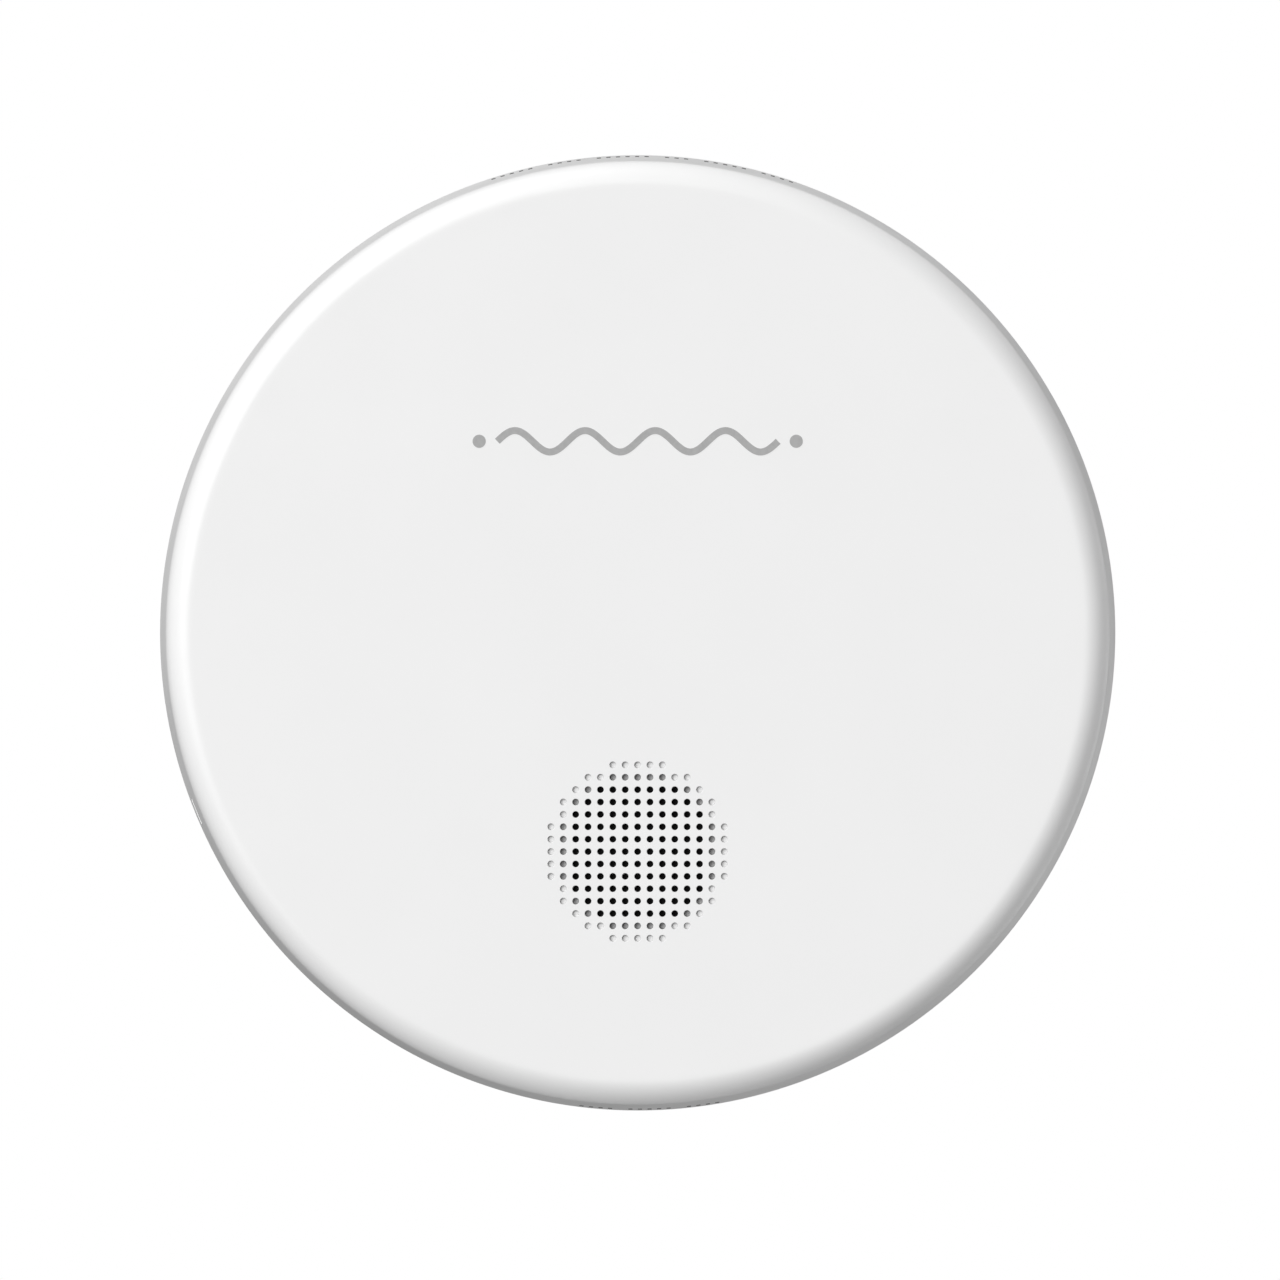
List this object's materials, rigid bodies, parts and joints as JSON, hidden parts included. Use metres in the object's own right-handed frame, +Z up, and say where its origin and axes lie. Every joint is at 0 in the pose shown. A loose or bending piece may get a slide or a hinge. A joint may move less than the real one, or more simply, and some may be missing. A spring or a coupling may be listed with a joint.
{
  "type": "carbon monoxide detector",
  "caption": "Round white battery carbon monoxide detector with a flat pressable front, a dotted sounder grille and a bayonet wall plate.",
  "frame": {"origin": "centre of the mounting plate's back face, which lies on the wall", "axes": "+Y into the wall, so the front looks along -Y; +Z up; +X to the right as seen from the front"},
  "size_m": [0.118, 0.037, 0.118],
  "materials": {
    "cover_plastic": "fine satin, pure white",
    "housing_plastic": "satin white, moulded",
    "inner_plastic": "natural white, low wear",
    "label_film": "blank printed film",
    "black_plastic": "satin black",
    "screen_cloth": "fine black woven screen",
    "board_laminate": "green solder mask",
    "chip_resin": "moulded black resin",
    "ceramic": "fired ceramic",
    "cell_sleeve": "shrink sleeve over a steel can",
    "foam": "closed-cell foam",
    "steel": "bright steel",
    "nickel": "nickel strip",
    "brass": "rolled brass",
    "winding": "varnished copper wire",
    "sensor_shell": "grey moulded shell",
    "light_guide": "clear acrylic",
    "lamp_green": "tinted epoxy",
    "lamp_red": "tinted epoxy",
    "lamp_amber": "tinted epoxy"
  },
  "bodies": {
    "plate": {"mounting_plate": "housing_plastic"},
    "housing": {"back_housing": "housing_plastic", "rating_label": "label_film", "cover_spring_1": "steel", "cover_spring_2": "steel", "cover_spring_3": "steel", "circuit_board": "board_laminate", "tact_switch": "chip_resin", "slide_switch": "chip_resin", "controller_chip": "chip_resin", "driver_chip": "chip_resin", "booster_coil": "winding", "filter_capacitor": "steel", "board_screw_1": "steel", "board_screw_2": "steel", "board_screw_3": "steel", "board_screw_4": "steel", "led_green": "lamp_green", "led_red": "lamp_red", "led_amber": "lamp_amber", "chip_resistor_1": "chip_resin", "chip_resistor_2": "chip_resin", "chip_resistor_3": "chip_resin", "chip_capacitor_1": "ceramic", "chip_capacitor_2": "ceramic", "chip_capacitor_3": "ceramic", "battery_cell": "cell_sleeve", "battery_tab_positive": "nickel", "battery_tab_negative": "nickel", "battery_pad": "foam", "sensor_body": "sensor_shell", "sensor_cap": "inner_plastic", "sensor_filter": "foam", "sensor_pin_1": "nickel", "sensor_pin_2": "nickel", "sensor_pin_3": "nickel", "sounder_base": "black_plastic", "sounder_cap": "black_plastic", "piezo_disc": "brass", "piezo_ceramic": "ceramic", "contact_pin_1": "brass", "contact_pin_2": "brass", "light_guide": "light_guide"},
    "cover": {"front_cover": "cover_plastic", "dust_screen": "screen_cloth"},
    "plunger": {"switch_plunger": "inner_plastic"},
    "slider": {"activation_slider": "inner_plastic"}
  },
  "joints": [
    {"name": "bayonet_twist", "type": "hinge", "parent": "plate", "child": "housing", "pos_m": [0, 0, 0], "axis": [0, -1, 0], "range_deg": [0, 12]},
    {"name": "cover_press", "type": "slide", "parent": "housing", "child": "cover", "axis": [0, 1, 0], "range_m": [0, 0.001], "stiffness_N_per_m": 6000, "springref_m": -0.0005, "deforming": ["cover_spring_1", "cover_spring_2", "cover_spring_3"]},
    {"name": "switch_press", "type": "slide", "parent": "housing", "child": "plunger", "axis": [0, 1, 0], "range_m": [0, 0.00075]},
    {"name": "switch_slide", "type": "slide", "parent": "housing", "child": "slider", "axis": [0, 0, -1], "range_m": [0, 0.0042]}
  ],
  "couplings": [
    {"joint": "switch_press", "follows": "cover_press", "ratio": 0.75},
    {"joint": "switch_slide", "follows": "bayonet_twist", "m_per_rad": 0.02}
  ]
}
